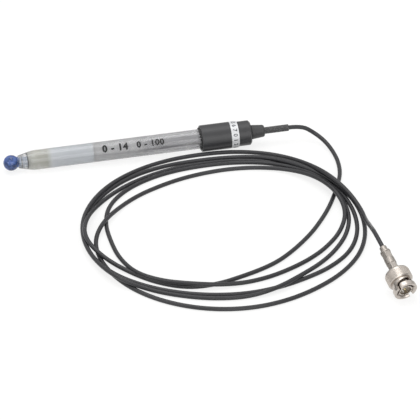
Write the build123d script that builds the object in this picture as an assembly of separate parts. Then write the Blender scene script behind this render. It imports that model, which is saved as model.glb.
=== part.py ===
from build123d import *
from math import asin, atan2, cos, degrees, hypot, pi, radians, sin, tan

# Glass pH electrode with a moulded head, a coiled coaxial cable and a bayonet plug.
# Electrode pieces are drawn along X from the head's front face, with the tip towards -X.
# Plug pieces are drawn along X from the plug's mouth, with the cable towards +X.

# Outer glass shaft, fused to the stem at its front end
SHAFT_RADIUS = 6.0
SHAFT_WALL = 1.0
SHAFT_LENGTH = 111.5
SHAFT_SEAT = 9.0
SHOULDER_LENGTH = 11.5
SHOULDER_FRONT_RADIUS = 3.8
SHOULDER_SLOPE_SHARE = 0.24
FUSED_LENGTH = 5.5

# Inner glass stem and the bulb blown on its end
STEM_RADIUS = 3.2
STEM_WALL = 0.7
STEM_SEAT = 12.5
BULB_RADIUS = 4.75
BULB_WALL = 0.4
BULB_REACH = 9.0
NECK_SEAT = 1.0
NECK_ROUND = 1.2

# Liquids, wires and elements in the glass
FILL_LENGTH = 41.0
GEL_LENGTH = 40.0
WIRE_RADIUS = 0.3
MEASURING_ELEMENT_RADIUS = 0.6
MEASURING_ELEMENT_LENGTH = 8.0
MEASURING_ELEMENT_SETBACK = 7.0
REFERENCE_ELEMENT_RADIUS = 0.75
REFERENCE_ELEMENT_LENGTH = 5.5
REFERENCE_ELEMENT_FRONT = 26.0
REFERENCE_TAPER_LENGTH = 9.5
JUNCTION_RADIUS = 0.5
JUNCTION_SETBACK = 15.0
SEAL_LENGTH = 7.0

# Front shell of the head
HEAD_WALL = 2.1
CAP_LENGTH = 22.6
CAP_RIM = 0.9
CAP_ROUND = 0.4
CAP_RECESS = 1.0
CAP_STOP_LENGTH = 1.5
CAP_STOP_STEP = 0.6
CAP_CAVITY_STEP = 0.3
LABEL_LENGTH = 4.6
LABEL_THICKNESS = 0.15

# Rear shell, pressed into the front shell by its spigot
SPIGOT_STEP = 0.6
SPIGOT_WALL = 1.2
SPIGOT_LENGTH = 5.5
SHELL_STEP = 0.55
SHELL_LENGTH = 8.1
SHELL_CHAMFER = 0.9
SHELL_END_WALL = 2.0

# Bend-relief cone, with a collar inside the rear shell
GLAND_COLLAR_RADIUS = 4.2
GLAND_COLLAR_LENGTH = 1.2
GLAND_STUB_RADIUS = 3.2
GLAND_NECK_RADIUS = 3.8
GLAND_NECK_LENGTH = 0.6
GLAND_BASE_RADIUS = 4.42
GLAND_END_RADIUS = 3.6
GLAND_LENGTH = 8.1
GLAND_BASE_ROUND = 0.3
GLAND_END_ROUND = 1.1

# Shrink sleeve, cable and the two splices inside the head
SLEEVE_RADIUS = 2.05
SLEEVE_SEAT = 12.4
SLEEVE_LENGTH = 15.0
CABLE_RADIUS = 1.3
CORE_RADIUS = 0.75
SPLICE_RADIUS = 0.9
SPLICE_LENGTH = 5.0
SPLICE_GAP = 2.0
CORE_STRIP_LENGTH = 3.0
JACKET_STRIP_LENGTH = 4.0
SHIELD_BEND_RADIUS = 1.0
SHIELD_REACH = 5.0

# Coupling nut of the plug
LIP_RADIUS = 6.9
LIP_LENGTH = 3.0
LIP_ROUND = 0.5
WAIST_RADIUS = 5.9
WAIST_LENGTH = 3.8
RING_RADIUS = 7.25
RING_CHAMFER = 0.5
RING_ROUND = 1.5
NUT_LENGTH = 14.3
NUT_BORE_RADIUS = 4.95
NUT_MOUTH_CHAMFER = 0.7
NUT_SHOULDER_LENGTH = 2.7
NUT_GROOVE_RADIUS = 4.7
NUT_GROOVE_LENGTH = 1.1
NUT_REAR_WALL = 0.5
NUT_TRAVEL = 0.5
SLOT_WIDTH = 2.2
SLOT_ENTRY = 3.5
SLOT_REACH = 5.1
SLOT_TURN = 78.0
SLOT_STEPS = 6
SLOT_ANGLE = -42.0
LOCK_RADIUS = 1.25

# Plug body, a single turned piece with a slotted contact barrel
BARREL_RADIUS = 4.05
BARREL_BORE_RADIUS = 3.3
BARREL_SETBACK = 0.6
BARREL_SLOT_WIDTH = 0.5
BARREL_SLOT_LENGTH = 5.0
BARREL_SLOT_COUNT = 4
FLANGE_RADIUS = 4.65
FLANGE_LENGTH = 1.1
BODY_TAIL_RADIUS = 3.9
BODY_TAIL_REACH = 0.2
STUB_RADIUS = 2.3
STUB_LENGTH = 9.8
STUB_BORE_RADIUS = 1.0
REAR_BORE_RADIUS = 1.6

# Small pieces inside the plug
RUNNING_CLEARANCE = 0.07
END_CLEARANCE = 0.02
WASHER_WIDTH = 0.55
THRUST_WASHER_THICKNESS = 0.3
WAVE_WASHER_SPACE = 0.7
WAVE_WASHER_THICKNESS = 0.18
WAVE_COUNT = 3
WAVE_POINTS = 36
RETAINING_RING_DEPTH = 0.4
RETAINING_RING_RADIUS = 4.4
RETAINING_RING_GAP = 1.6
GASKET_LENGTH = 0.8
INSULATOR_SETBACK = 4.6
INSULATOR_SEAT = 0.4
INSULATOR_TAIL = 4.8
PIN_RADIUS = 0.675
PIN_SETBACK = 1.5
PIN_ROUND = 0.5
PIN_BARREL_RADIUS = 0.95
PIN_SOCKET_LENGTH = 2.4

# Crimp ferrule
FERRULE_RADIUS = 3.0
FERRULE_LENGTH = 15.3
FERRULE_ROUND = 0.4
FERRULE_TAIL_RADIUS = 2.1
FERRULE_TAIL_LENGTH = 3.2
FERRULE_BORE_LENGTH = 10.3
CRIMP_LENGTH = 4.5
CRIMP_ACROSS_FLATS = 5.4
CRIMP_SETBACK = 1.3

# Where the plug stands on its lip: its mouth, and the heading and rise of its cable end
PLUG_X = 115.2
PLUG_Y = -176.5
PLUG_HEADING = 101.0
PLUG_RISE = 18.0

# Cable route, with straight runs at the sleeve and at the plug
SLEEVE_RUN = 8.4
PLUG_RUN = 11.0
LEAD_POINTS = [
    (103.0, -3.0, 6.2),
    (108.2, -9.8, 4.2),
    (111.0, -19.0, 2.6),
    (112.2, -30.5, 1.5),
    (110.0, -44.0, 1.3),
    (105.0, -56.5, 1.3),
]
TAIL_POINTS = [(112.4, -92.5, 1.3), (111.3, -103.5, 4.0), (107.7, -120.5, 14.5)]
BEND_SHARE = 0.45

# Coil of loose turns, as radii of its inner and outer strands, clockwise from COIL_START
COIL_X = 30.4
COIL_SETBACK = 3.8
COIL_START = 30.0
COIL_INNER_RADII = [66, 58, 47, 46, 50, 61, 67, 67, 65, 60, 61, 67]
COIL_OUTER_RADII = [79, 82, 80, 80, 80, 80, 80, 83, 82, 81, 80, 82]
COIL_LAYERS = 2
COIL_ROUND_SHARE = 0.9
COIL_CLEARANCE = 0.5

# Each cutting tool runs this far past the face it cuts
OVERRUN = 1.0

# Positions along the electrode
SHAFT_FRONT = -SHAFT_LENGTH
SHAFT_BORE_RADIUS = SHAFT_RADIUS - SHAFT_WALL
STEM_BORE_RADIUS = STEM_RADIUS - STEM_WALL
STEM_FRONT = SHAFT_FRONT + NECK_SEAT
BULB_CENTRE = SHAFT_FRONT - BULB_REACH + BULB_RADIUS
MEASURING_ELEMENT_FRONT = SHAFT_FRONT + MEASURING_ELEMENT_SETBACK
MEASURING_ELEMENT_END = MEASURING_ELEMENT_FRONT + MEASURING_ELEMENT_LENGTH
FUSED_END = SHAFT_FRONT + FUSED_LENGTH
GEL_END = FUSED_END + GEL_LENGTH
FILL_END = STEM_FRONT + FILL_LENGTH
SEAL_FRONT = SHAFT_SEAT - SEAL_LENGTH
GLASS_GAP_RADIUS = (STEM_RADIUS + SHAFT_BORE_RADIUS) / 2
CAP_RADIUS = SHAFT_RADIUS + HEAD_WALL
CAP_STOP_RADIUS = SHAFT_RADIUS - CAP_STOP_STEP
CAP_CAVITY_RADIUS = SHAFT_RADIUS + CAP_CAVITY_STEP
CAP_STOP_END = SHAFT_SEAT + CAP_STOP_LENGTH
SPIGOT_RADIUS = SHAFT_RADIUS + SPIGOT_STEP
SPIGOT_FRONT = CAP_LENGTH - SPIGOT_LENGTH
SHELL_RADIUS = CAP_RADIUS - SHELL_STEP
SHELL_CAVITY_RADIUS = SPIGOT_RADIUS - SPIGOT_WALL
SHELL_END = CAP_LENGTH + SHELL_LENGTH
SHELL_FLOOR = SHELL_END - SHELL_END_WALL
GLAND_BASE = SHELL_END + GLAND_NECK_LENGTH
GLAND_END = GLAND_BASE + GLAND_LENGTH
SLEEVE_FRONT = GLAND_END - SLEEVE_SEAT
SLEEVE_END = GLAND_END + SLEEVE_LENGTH
SPLICE_CENTRE = STEM_SEAT + SPLICE_GAP + SPLICE_LENGTH / 2
CORE_FRONT = SPLICE_CENTRE + CORE_STRIP_LENGTH
JACKET_FRONT = CORE_FRONT + JACKET_STRIP_LENGTH

# The coil lies in front of the electrode, and its widest place reaches nearly under it.
COIL_Y = -COIL_SETBACK - max(COIL_OUTER_RADII)

# Positions along the plug
RING_FRONT = LIP_LENGTH + WAIST_LENGTH
NUT_SHOULDER = NUT_LENGTH - NUT_SHOULDER_LENGTH
THRUST_WASHER_FRONT = NUT_SHOULDER - THRUST_WASHER_THICKNESS
FLANGE_REAR = THRUST_WASHER_FRONT - WAVE_WASHER_SPACE
FLANGE_FRONT = FLANGE_REAR - FLANGE_LENGTH
NUT_GROOVE_END = NUT_LENGTH - NUT_REAR_WALL
NUT_GROOVE_FRONT = NUT_GROOVE_END - NUT_GROOVE_LENGTH
RETAINING_RING_FRONT = NUT_GROOVE_FRONT + END_CLEARANCE
RETAINING_RING_END = NUT_GROOVE_END - NUT_TRAVEL - END_CLEARANCE
BODY_TAIL_END = NUT_LENGTH + BODY_TAIL_REACH
BARREL_FLOOR = FLANGE_FRONT + INSULATOR_SEAT
INSULATOR_END = BARREL_FLOOR + INSULATOR_TAIL
FERRULE_STEP = BODY_TAIL_END + FERRULE_LENGTH
FERRULE_END = FERRULE_STEP + FERRULE_TAIL_LENGTH
FERRULE_BORE_END = BODY_TAIL_END + FERRULE_BORE_LENGTH


def turned(points, rounds=()):
    """Turn an outline of (x, radius) corners about X, after rounding some corners."""
    face = make_face(Polyline(*points, close=True))
    for corner, radius in rounds:
        face = fillet(face.vertices().sort_by_distance(corner)[0], radius)
    return revolve(face, Axis.X)


def rod(start, end, radius):
    """Plain rod on the X axis."""
    return turned([(start, 0), (end, 0), (end, radius), (start, radius)])


def tube(start, end, outer, inner):
    """Plain tube on the X axis."""
    return turned([(start, inner), (end, inner), (end, outer), (start, outer)])


def shoulder(front, front_radius, end, end_radius):
    """Curve of the glass shoulder, tangent to the straight shaft at its end."""
    return Spline((front, front_radius), (end, end_radius), tangents=[(1, SHOULDER_SLOPE_SHARE), (1, 0)])


SHOULDER_END = SHAFT_FRONT + SHOULDER_LENGTH
INNER_SHOULDER = shoulder(FUSED_END, STEM_RADIUS, SHOULDER_END, SHAFT_BORE_RADIUS)


def ceramic_rod():
    """Ceramic rod in the far side of the shaft's wall, before it is ground flush."""
    centre = SHAFT_FRONT + JUNCTION_SETBACK
    plane = Plane(origin=(centre, STEM_RADIUS, 0), z_dir=(0, 1, 0))
    return extrude(plane * Circle(JUNCTION_RADIUS), SHAFT_RADIUS)


def shaft_tube():
    """Outer glass with its shoulder closed onto the stem."""
    outside = shoulder(SHAFT_FRONT, SHOULDER_FRONT_RADIUS, SHOULDER_END, SHAFT_RADIUS)
    ends = Polyline(
        (SHOULDER_END, SHAFT_RADIUS),
        (SHAFT_SEAT, SHAFT_RADIUS),
        (SHAFT_SEAT, SHAFT_BORE_RADIUS),
        (SHOULDER_END, SHAFT_BORE_RADIUS),
    )
    front = Polyline((FUSED_END, STEM_RADIUS), (SHAFT_FRONT, STEM_RADIUS), (SHAFT_FRONT, SHOULDER_FRONT_RADIUS))
    return revolve(make_face(outside + ends + INNER_SHOULDER + front), Axis.X)


def bulb_inside():
    """Space in the bulb and its neck."""
    return Pos(BULB_CENTRE, 0, 0) * Sphere(BULB_RADIUS - BULB_WALL) + rod(BULB_CENTRE, STEM_FRONT, STEM_BORE_RADIUS)


def membrane_bulb():
    """Thin blown bulb with a neck of the stem's size."""
    solid = Pos(BULB_CENTRE, 0, 0) * Sphere(BULB_RADIUS) + rod(BULB_CENTRE, STEM_FRONT, STEM_RADIUS)
    circles = solid.edges().filter_by(GeomType.CIRCLE).sort_by(Axis.X)
    joint = [edge for edge in circles if edge.is_closed][0]
    return fillet(joint, NECK_ROUND) - bulb_inside()


def measuring_element():
    """Coated end of the measuring wire, in the stem."""
    return rod(MEASURING_ELEMENT_FRONT, MEASURING_ELEMENT_END, MEASURING_ELEMENT_RADIUS)


def measuring_wire():
    """Wire from the measuring element to its splice."""
    return rod(MEASURING_ELEMENT_END, SPLICE_CENTRE, WIRE_RADIUS)


def bulb_fill():
    """Buffer solution round the measuring element."""
    solution = bulb_inside() + rod(STEM_FRONT, FILL_END, STEM_BORE_RADIUS)
    return solution - measuring_element() - measuring_wire()


def reference_element():
    """Dark reference bar with a tapered end, beside the stem."""
    front = -REFERENCE_ELEMENT_FRONT
    step = front + REFERENCE_ELEMENT_LENGTH
    end = step + REFERENCE_TAPER_LENGTH
    bar = turned(
        [(front, 0), (end, 0), (end, WIRE_RADIUS), (step, REFERENCE_ELEMENT_RADIUS), (front, REFERENCE_ELEMENT_RADIUS)]
    )
    return Pos(0, -GLASS_GAP_RADIUS, 0) * bar


def reference_wire():
    """Wire from the reference element to its splice."""
    front = REFERENCE_ELEMENT_LENGTH + REFERENCE_TAPER_LENGTH - REFERENCE_ELEMENT_FRONT
    return Pos(0, -GLASS_GAP_RADIUS, 0) * rod(front, SPLICE_CENTRE, WIRE_RADIUS)


def reference_gel():
    """Gel between the stem and the shaft, behind the shoulder."""
    ends = Polyline(
        (SHOULDER_END, SHAFT_BORE_RADIUS),
        (GEL_END, SHAFT_BORE_RADIUS),
        (GEL_END, STEM_RADIUS),
        (FUSED_END, STEM_RADIUS),
    )
    return revolve(make_face(INNER_SHOULDER + ends), Axis.X)


def reference_electrolyte():
    """Clear electrolyte between the gel and the seal."""
    liquid = tube(GEL_END, SEAL_FRONT, SHAFT_BORE_RADIUS, STEM_RADIUS)
    return liquid - reference_element() - reference_wire()


def stem_seal():
    """Rubber plug that centres the stem in the shaft's rear end."""
    return tube(SEAL_FRONT, SHAFT_SEAT, SHAFT_BORE_RADIUS, STEM_RADIUS) - reference_wire()


def head_cap():
    """Front shell, recessed round the glass, with a shallow seat for the label."""
    seat_radius = CAP_RADIUS - LABEL_THICKNESS
    label_front = CAP_LENGTH - LABEL_LENGTH
    rim_radius = CAP_RADIUS - CAP_RIM
    points = [
        (0, CAP_RADIUS),
        (label_front, CAP_RADIUS),
        (label_front, seat_radius),
        (CAP_LENGTH, seat_radius),
        (CAP_LENGTH, SPIGOT_RADIUS),
        (SPIGOT_FRONT, SPIGOT_RADIUS),
        (SPIGOT_FRONT, CAP_CAVITY_RADIUS),
        (CAP_STOP_END, CAP_CAVITY_RADIUS),
        (CAP_STOP_END, CAP_STOP_RADIUS),
        (SHAFT_SEAT, CAP_STOP_RADIUS),
        (SHAFT_SEAT, SHAFT_RADIUS),
        (CAP_RECESS, SHAFT_RADIUS),
        (CAP_RECESS, rim_radius),
        (0, rim_radius),
    ]
    return turned(points, [((0, CAP_RADIUS), CAP_ROUND), ((0, rim_radius), CAP_ROUND)])


def rear_shell():
    """Rear shell with its spigot and its end wall."""
    points = [
        (SPIGOT_FRONT, SHELL_CAVITY_RADIUS),
        (SPIGOT_FRONT, SPIGOT_RADIUS),
        (CAP_LENGTH, SPIGOT_RADIUS),
        (CAP_LENGTH, SHELL_RADIUS),
        (SHELL_END - SHELL_CHAMFER, SHELL_RADIUS),
        (SHELL_END, SHELL_RADIUS - SHELL_CHAMFER),
        (SHELL_END, GLAND_STUB_RADIUS),
        (SHELL_FLOOR, GLAND_STUB_RADIUS),
        (SHELL_FLOOR, SHELL_CAVITY_RADIUS),
    ]
    return turned(points)


def gland_cone():
    """Soft bend relief, held by a collar inside the end wall."""
    points = [
        (SHELL_FLOOR - GLAND_COLLAR_LENGTH, SLEEVE_RADIUS),
        (SHELL_FLOOR - GLAND_COLLAR_LENGTH, GLAND_COLLAR_RADIUS),
        (SHELL_FLOOR, GLAND_COLLAR_RADIUS),
        (SHELL_FLOOR, GLAND_STUB_RADIUS),
        (SHELL_END, GLAND_STUB_RADIUS),
        (SHELL_END, GLAND_NECK_RADIUS),
        (GLAND_BASE, GLAND_NECK_RADIUS),
        (GLAND_BASE, GLAND_BASE_RADIUS),
        (GLAND_END, GLAND_END_RADIUS),
        (GLAND_END, SLEEVE_RADIUS),
    ]
    base_round = ((GLAND_BASE, GLAND_BASE_RADIUS), GLAND_BASE_ROUND)
    return turned(points, [base_round, ((GLAND_END, GLAND_END_RADIUS), GLAND_END_ROUND)])


def cable_end():
    """Stripped end of the cable in the sleeve and the head, with its shield twisted aside."""
    end = rod(SPLICE_CENTRE, CORE_FRONT, WIRE_RADIUS) + rod(CORE_FRONT, JACKET_FRONT, CORE_RADIUS)
    end += rod(JACKET_FRONT, SLEEVE_END, CABLE_RADIUS)
    route = FilletPolyline(
        (SPLICE_CENTRE, -GLASS_GAP_RADIUS),
        (SPLICE_CENTRE + SHIELD_REACH, -GLASS_GAP_RADIUS),
        (JACKET_FRONT + WIRE_RADIUS, -CORE_RADIUS),
        radius=SHIELD_BEND_RADIUS,
    )
    shield = sweep(Plane(origin=route @ 0, z_dir=route % 0) * Circle(WIRE_RADIUS), path=route)
    return end + shield


def splice():
    """Crimp tube that joins two wire ends."""
    start = SPLICE_CENTRE - SPLICE_LENGTH / 2
    return tube(start, start + SPLICE_LENGTH, SPLICE_RADIUS, WIRE_RADIUS)


def potting():
    """Resin that fills the head behind the glass."""
    points = [
        (SHAFT_SEAT, STEM_RADIUS),
        (SHAFT_SEAT, CAP_STOP_RADIUS),
        (CAP_STOP_END, CAP_STOP_RADIUS),
        (CAP_STOP_END, CAP_CAVITY_RADIUS),
        (SPIGOT_FRONT, CAP_CAVITY_RADIUS),
        (SPIGOT_FRONT, SHELL_CAVITY_RADIUS),
        (SHELL_FLOOR, SHELL_CAVITY_RADIUS),
        (SHELL_FLOOR, 0),
        (STEM_SEAT, 0),
        (STEM_SEAT, STEM_RADIUS),
    ]
    resin = turned(points)
    resin -= rod(SLEEVE_FRONT, SLEEVE_END, SLEEVE_RADIUS)
    resin -= rod(SHELL_FLOOR - GLAND_COLLAR_LENGTH, SHELL_FLOOR, GLAND_COLLAR_RADIUS)
    for piece in [splice(), Pos(0, -GLASS_GAP_RADIUS, 0) * splice()]:
        resin -= piece
    for piece in [measuring_wire(), reference_wire(), cable_end()]:
        resin -= piece
    return resin


electrode = {
    "outer_glass_shaft": shaft_tube() - ceramic_rod(),
    "inner_glass_stem": tube(STEM_FRONT, STEM_SEAT, STEM_RADIUS, STEM_BORE_RADIUS),
    "membrane_bulb": membrane_bulb(),
    "bulb_fill": bulb_fill(),
    "measuring_element": measuring_element(),
    "measuring_wire": measuring_wire(),
    "reference_gel": reference_gel(),
    "reference_electrolyte": reference_electrolyte(),
    "reference_element": reference_element(),
    "reference_wire": reference_wire(),
    "ceramic_junction": ceramic_rod() & shaft_tube(),
    "stem_seal": stem_seal(),
    "head_cap": head_cap(),
    "label_band": tube(CAP_LENGTH - LABEL_LENGTH, CAP_LENGTH, CAP_RADIUS, CAP_RADIUS - LABEL_THICKNESS),
    "rear_shell": rear_shell(),
    "potting": potting(),
    "core_splice": splice(),
    "shield_splice": Pos(0, -GLASS_GAP_RADIUS, 0) * splice(),
    "gland_cone": gland_cone(),
    "cable_sleeve": tube(SLEEVE_FRONT, SLEEVE_END, SLEEVE_RADIUS, CABLE_RADIUS),
    "cable_end": cable_end(),
}

# The electrode lies on the head's front edge and on the end of the straight glass.
tilt = degrees(asin((CAP_RADIUS - SHAFT_RADIUS) / (SHAFT_LENGTH - SHOULDER_LENGTH)))
boxes = [(Rot(0, -tilt, 0) * piece).bounding_box() for piece in electrode.values()]
low_x = min(box.min.X for box in boxes)
high_x = max(box.max.X for box in boxes)
low_z = min(box.min.Z for box in boxes)
electrode_place = Pos(-(low_x + high_x) / 2, 0, -low_z) * Rot(0, -tilt, 0)


def bayonet_slot():
    """Entry from the mouth, then a slot that slants round the waist to its lock hole."""
    height = RING_RADIUS + OVERRUN
    advance = (SLOT_REACH - SLOT_ENTRY) / SLOT_STEPS
    swing = SLOT_TURN / SLOT_STEPS
    across = 2 * WAIST_RADIUS * tan(radians(swing / 2))
    link = Rot(0, 0, -degrees(atan2(across, advance))) * SlotCenterToCenter(hypot(across, advance), SLOT_WIDTH)
    slot = extrude(Rectangle(2 * SLOT_ENTRY, SLOT_WIDTH), height)
    for index in range(SLOT_STEPS):
        middle = index + 1 / 2
        slot += Rot(middle * swing, 0, 0) * extrude(Pos(SLOT_ENTRY + middle * advance, 0, 0) * link, height)
    return slot + Rot(SLOT_TURN, 0, 0) * extrude(Pos(SLOT_REACH, 0, 0) * Circle(LOCK_RADIUS), height)


def coupling_nut():
    """Nut with a lip, a waist, a grip ring, two bayonet slots and a groove for the retaining ring."""
    bore = BODY_TAIL_RADIUS + RUNNING_CLEARANCE
    points = [
        (0, NUT_BORE_RADIUS + NUT_MOUTH_CHAMFER),
        (0, LIP_RADIUS),
        (LIP_LENGTH, LIP_RADIUS),
        (LIP_LENGTH, WAIST_RADIUS),
        (RING_FRONT, WAIST_RADIUS),
        (RING_FRONT, RING_RADIUS - RING_CHAMFER),
        (RING_FRONT + RING_CHAMFER, RING_RADIUS),
        (NUT_LENGTH, RING_RADIUS),
        (NUT_LENGTH, bore),
        (NUT_GROOVE_END, bore),
        (NUT_GROOVE_END, NUT_GROOVE_RADIUS),
        (NUT_GROOVE_FRONT, NUT_GROOVE_RADIUS),
        (NUT_GROOVE_FRONT, bore),
        (NUT_SHOULDER, bore),
        (NUT_SHOULDER, NUT_BORE_RADIUS),
        (NUT_MOUTH_CHAMFER, NUT_BORE_RADIUS),
    ]
    rounds = [((0, LIP_RADIUS), LIP_ROUND), ((LIP_LENGTH, LIP_RADIUS), LIP_ROUND)]
    rounds.append(((NUT_LENGTH, RING_RADIUS), RING_ROUND))
    return turned(points, rounds) - [Rot(SLOT_ANGLE + side, 0, 0) * bayonet_slot() for side in (0, 180)]


def plug_body():
    """Turned body: slotted barrel, flange, tail with a ring groove, and crimp stub."""
    groove_radius = BODY_TAIL_RADIUS - RETAINING_RING_DEPTH
    points = [
        (BARREL_SETBACK, BARREL_BORE_RADIUS),
        (BARREL_SETBACK, BARREL_RADIUS),
        (FLANGE_FRONT, BARREL_RADIUS),
        (FLANGE_FRONT, FLANGE_RADIUS),
        (FLANGE_REAR, FLANGE_RADIUS),
        (FLANGE_REAR, BODY_TAIL_RADIUS),
        (RETAINING_RING_FRONT, BODY_TAIL_RADIUS),
        (RETAINING_RING_FRONT, groove_radius),
        (RETAINING_RING_END, groove_radius),
        (RETAINING_RING_END, BODY_TAIL_RADIUS),
        (BODY_TAIL_END, BODY_TAIL_RADIUS),
        (BODY_TAIL_END, STUB_RADIUS),
        (BODY_TAIL_END + STUB_LENGTH, STUB_RADIUS),
        (BODY_TAIL_END + STUB_LENGTH, STUB_BORE_RADIUS),
        (INSULATOR_END, STUB_BORE_RADIUS),
        (INSULATOR_END, REAR_BORE_RADIUS),
        (BARREL_FLOOR, REAR_BORE_RADIUS),
        (BARREL_FLOOR, BARREL_BORE_RADIUS),
    ]
    body = turned(points)
    slot_length = BARREL_SLOT_LENGTH + OVERRUN
    slot = Box(slot_length, BARREL_SLOT_WIDTH, FLANGE_RADIUS, align=(Align.MIN, Align.CENTER, Align.MIN))
    slot = Pos(BARREL_SETBACK - OVERRUN, 0, 0) * slot
    return body - [Rot(index * 360 / BARREL_SLOT_COUNT, 0, 0) * slot for index in range(BARREL_SLOT_COUNT)]


def plug_insulator():
    """White insulator, stepped to fit the body's two bores."""
    points = [
        (INSULATOR_SETBACK, PIN_RADIUS),
        (INSULATOR_SETBACK, BARREL_BORE_RADIUS),
        (BARREL_FLOOR, BARREL_BORE_RADIUS),
        (BARREL_FLOOR, REAR_BORE_RADIUS),
        (INSULATOR_END, REAR_BORE_RADIUS),
        (INSULATOR_END, PIN_BARREL_RADIUS),
        (BARREL_FLOOR, PIN_BARREL_RADIUS),
        (BARREL_FLOOR, PIN_RADIUS),
    ]
    return turned(points)


def centre_pin():
    """Centre contact with a rounded nose and a crimp socket for the core."""
    points = [
        (PIN_SETBACK, 0),
        (PIN_SETBACK, PIN_RADIUS),
        (BARREL_FLOOR, PIN_RADIUS),
        (BARREL_FLOOR, PIN_BARREL_RADIUS),
        (INSULATOR_END, PIN_BARREL_RADIUS),
        (INSULATOR_END, WIRE_RADIUS),
        (INSULATOR_END - PIN_SOCKET_LENGTH, WIRE_RADIUS),
        (INSULATOR_END - PIN_SOCKET_LENGTH, 0),
    ]
    return turned(points, [((PIN_SETBACK, PIN_RADIUS), PIN_ROUND)])


def plug_cable_end():
    """Stripped end of the cable in the ferrule."""
    end = rod(INSULATOR_END - PIN_SOCKET_LENGTH, INSULATOR_END, WIRE_RADIUS)
    end += rod(INSULATOR_END, FERRULE_BORE_END, CORE_RADIUS)
    return end + rod(FERRULE_BORE_END, FERRULE_END, CABLE_RADIUS)


def wave_washer():
    """Thin ring bent into waves that spring the nut back."""
    swing = (WAVE_WASHER_SPACE - WAVE_WASHER_THICKNESS) / 2 - END_CLEARANCE
    middle = THRUST_WASHER_FRONT - WAVE_WASHER_SPACE / 2
    inner = BODY_TAIL_RADIUS + RUNNING_CLEARANCE
    angles = [2 * pi * index / WAVE_POINTS for index in range(WAVE_POINTS)]
    rings = []
    for face in (-WAVE_WASHER_THICKNESS / 2, WAVE_WASHER_THICKNESS / 2):
        for radius in (inner, inner + WASHER_WIDTH):
            line = [
                (middle + face + swing * cos(WAVE_COUNT * angle), radius * cos(angle), radius * sin(angle))
                for angle in angles
            ]
            rings.append(Spline(*line, periodic=True))
    low_inner, low_outer, high_inner, high_outer = [ring.edge() for ring in rings]
    faces = [
        Face.make_surface_from_curves(low_inner, low_outer),
        Face.make_surface_from_curves(high_inner, high_outer),
        Face.make_surface_from_curves(low_inner, high_inner),
        Face.make_surface_from_curves(low_outer, high_outer),
    ]
    return Solid(Shell(faces))


def retaining_ring():
    """Split ring in the body's groove."""
    inner = BODY_TAIL_RADIUS - RETAINING_RING_DEPTH
    ring = tube(RETAINING_RING_FRONT, RETAINING_RING_END, RETAINING_RING_RADIUS, inner)
    gap = Box(NUT_LENGTH, RETAINING_RING_GAP, RING_RADIUS, align=(Align.CENTER, Align.CENTER, Align.MAX))
    return ring - Pos(RETAINING_RING_END, 0, 0) * gap


def crimp_ferrule():
    """Long ferrule with a narrow tail and two hexagonal crimps."""
    points = [
        (BODY_TAIL_END, STUB_RADIUS),
        (BODY_TAIL_END, FERRULE_RADIUS),
        (FERRULE_STEP, FERRULE_RADIUS),
        (FERRULE_STEP, FERRULE_TAIL_RADIUS),
        (FERRULE_END, FERRULE_TAIL_RADIUS),
        (FERRULE_END, CABLE_RADIUS),
        (FERRULE_BORE_END, CABLE_RADIUS),
        (FERRULE_BORE_END, STUB_RADIUS),
    ]
    rounds = [((FERRULE_STEP, FERRULE_RADIUS), FERRULE_ROUND), ((FERRULE_END, FERRULE_TAIL_RADIUS), FERRULE_ROUND)]
    ferrule = turned(points, rounds)
    hexagon = Plane.YZ * RegularPolygon(CRIMP_ACROSS_FLATS / 2, 6, major_radius=False)
    crimp = rod(0, CRIMP_LENGTH, FERRULE_RADIUS + OVERRUN) - extrude(hexagon, CRIMP_LENGTH)
    for start in (BODY_TAIL_END + CRIMP_SETBACK, FERRULE_STEP - CRIMP_SETBACK - CRIMP_LENGTH):
        ferrule -= Pos(start, 0, 0) * crimp
    return ferrule


washer_inner = BODY_TAIL_RADIUS + RUNNING_CLEARANCE
plug = {
    "coupling_nut": coupling_nut(),
    "plug_body": plug_body(),
    "plug_insulator": plug_insulator(),
    "centre_pin": centre_pin(),
    "plug_gasket": tube(FLANGE_FRONT - GASKET_LENGTH, FLANGE_FRONT, FLANGE_RADIUS, BARREL_RADIUS),
    "wave_washer": wave_washer(),
    "thrust_washer": tube(THRUST_WASHER_FRONT, NUT_SHOULDER, washer_inner + WASHER_WIDTH, washer_inner),
    "retaining_ring": retaining_ring(),
    "crimp_ferrule": crimp_ferrule(),
    "plug_cable_end": plug_cable_end(),
}

# The plug stands on the nut's lip, and the springy cable holds its other end up.
plug_turn = Rot(0, 0, PLUG_HEADING) * Rot(0, -PLUG_RISE, 0)
nut_low = (plug_turn * plug["coupling_nut"]).bounding_box().min.Z
plug_place = Pos(PLUG_X, PLUG_Y, -nut_low) * plug_turn


def cord_run(name, points):
    """Cable along straight runs joined by tangent arcs."""
    points = [Vector(*point) for point in points]
    bends = []
    for before, corner, after in zip(points, points[1:], points[2:]):
        arriving = corner - before
        leaving = after - corner
        half_turn = radians(arriving.get_angle(leaving)) / 2
        bends.append(BEND_SHARE * min(arriving.length, leaving.length) / tan(half_turn))
    route = FilletPolyline(*points, radius=bends)
    section = Plane(origin=route @ 0, z_dir=route % 0) * Circle(CABLE_RADIUS)
    run = sweep(section, path=route)
    ratio = run.volume / (pi * CABLE_RADIUS**2 * route.length)
    print(name, "points", [tuple(round(value, 2) for value in point) for point in points])
    print(name, "bend radii", [round(bend, 1) for bend in bends], "length", round(route.length, 1))
    print(name, "volume over section times length", round(ratio, 5))
    return run


def coil_outline(radii, offset):
    """Closed curve round the coil, through the given strand radii moved by an offset."""
    step = 360 / len(radii)
    points = []
    for index, radius in enumerate(radii):
        angle = radians(COIL_START - index * step)
        reach = radius + offset
        points.append((COIL_X + reach * cos(angle), COIL_Y + reach * sin(angle)))
    return make_face(Spline(*points, periodic=True))


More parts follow.
